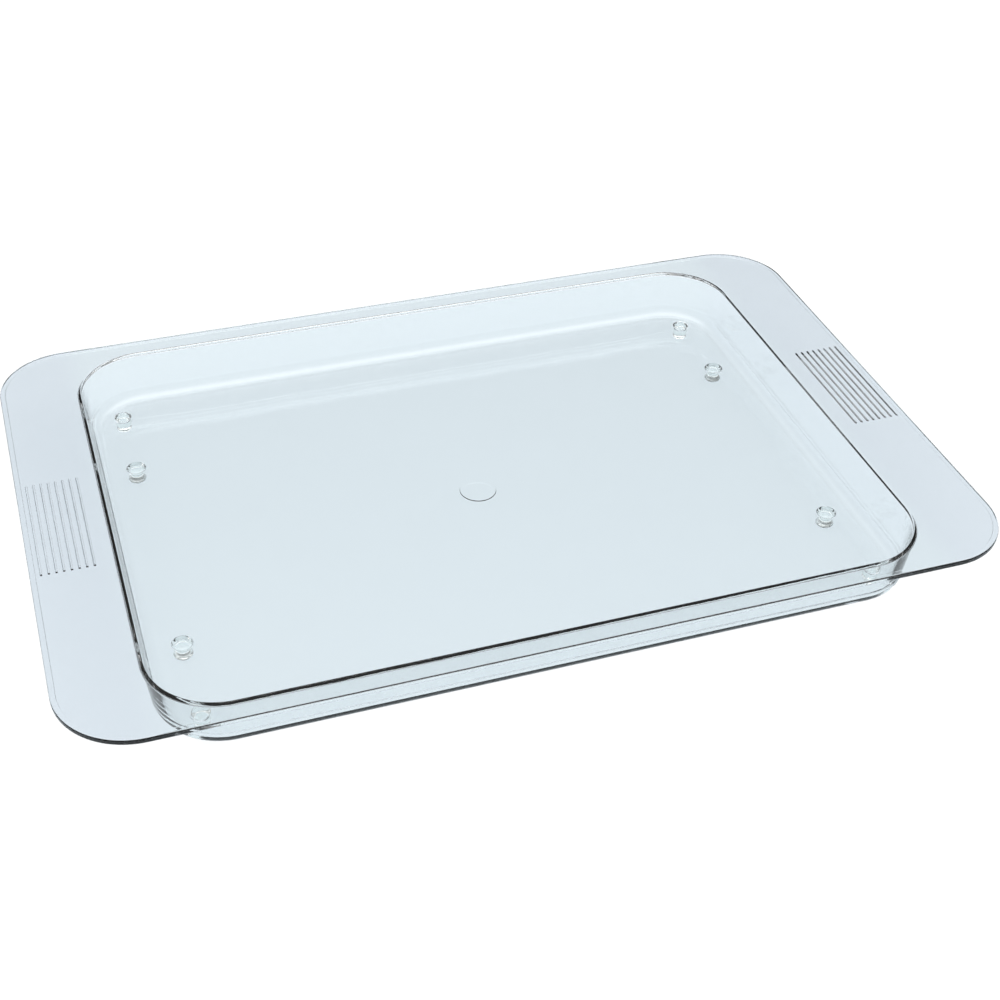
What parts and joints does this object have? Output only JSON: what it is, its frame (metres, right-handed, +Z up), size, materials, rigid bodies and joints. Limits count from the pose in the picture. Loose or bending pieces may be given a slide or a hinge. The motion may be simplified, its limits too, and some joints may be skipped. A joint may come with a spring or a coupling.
{
  "type": "propagation tray",
  "caption": "Clear rectangular propagation tray: shallow rounded basin, wide ribbed end flanges, thin rim bead and stud feet under the floor.",
  "frame": {"origin": "on the plane the feet stand on, under the centre of the tray", "axes": "+Z up, +X along the tray's long side, +Y along its short side"},
  "size_m": [0.4572, 0.3032, 0.0358],
  "materials": {
    "clear_shell": "clear polished plastic, faint blue-grey tint",
    "clear_foot": "clear polished plastic studs"
  },
  "bodies": {
    "root": {"tray_shell": "clear_shell", "inner_foot_front_left": "clear_foot", "inner_foot_front_right": "clear_foot", "inner_foot_back_left": "clear_foot", "inner_foot_back_right": "clear_foot", "corner_foot_front_left": "clear_foot", "corner_foot_front_right": "clear_foot", "corner_foot_back_left": "clear_foot", "corner_foot_back_right": "clear_foot"}
  },
  "joints": []
}
